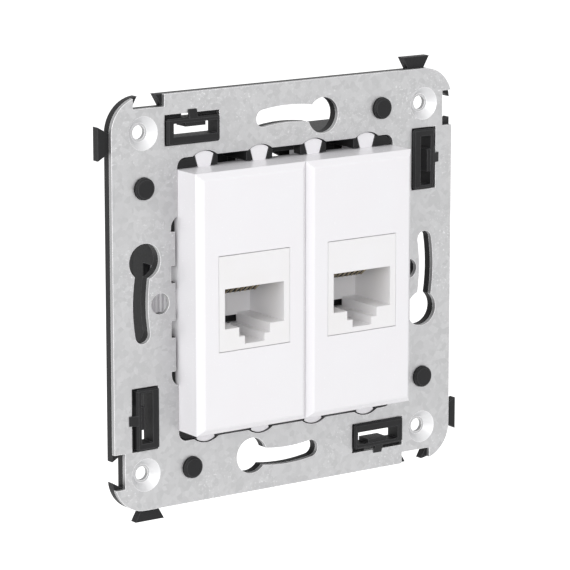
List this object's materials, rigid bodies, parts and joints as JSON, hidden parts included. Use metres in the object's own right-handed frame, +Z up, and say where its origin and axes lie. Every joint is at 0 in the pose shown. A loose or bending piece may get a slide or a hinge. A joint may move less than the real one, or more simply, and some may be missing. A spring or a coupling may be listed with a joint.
{
  "type": "double ethernet wall socket",
  "caption": "Flush data socket mechanism: square steel support plate on a black moulded frame, with white half-width modules that each hold a snap-in modular jack.",
  "frame": {"origin": "middle of the support plate, in the plane of the wall, which is the back of the black rim", "axes": "+X right, +Y into the wall box, +Z up; the plug openings face -Y"},
  "size_m": [0.075, 0.0263, 0.075],
  "materials": {
    "zinc_steel": "zinc-coated sheet, satin",
    "black_frame": "black nylon, satin",
    "white_cover": "white, fine satin",
    "white_jack": "white, fine satin",
    "black_carrier": "black, satin",
    "gold_wire": "gold-plated bronze",
    "green_board": "green solder mask on glass-epoxy",
    "pale_block": "natural white, satin",
    "tinned_blade": "tinned bronze sheet",
    "white_cap": "white, satin"
  },
  "bodies": {
    "root": {"support_plate": "zinc_steel", "mounting_frame": "black_frame", "left_module_cover": "white_cover", "left_jack_housing": "white_jack", "left_contact_carrier": "black_carrier", "left_contact_wires": "gold_wire", "left_circuit_board": "green_board", "left_upper_terminal_block": "pale_block", "left_lower_terminal_block": "pale_block", "left_upper_idc_contacts": "tinned_blade", "left_lower_idc_contacts": "tinned_blade", "left_wire_cap": "white_cap", "right_module_cover": "white_cover", "right_jack_housing": "white_jack", "right_contact_carrier": "black_carrier", "right_contact_wires": "gold_wire", "right_circuit_board": "green_board", "right_upper_terminal_block": "pale_block", "right_lower_terminal_block": "pale_block", "right_upper_idc_contacts": "tinned_blade", "right_lower_idc_contacts": "tinned_blade", "right_wire_cap": "white_cap"}
  },
  "joints": []
}
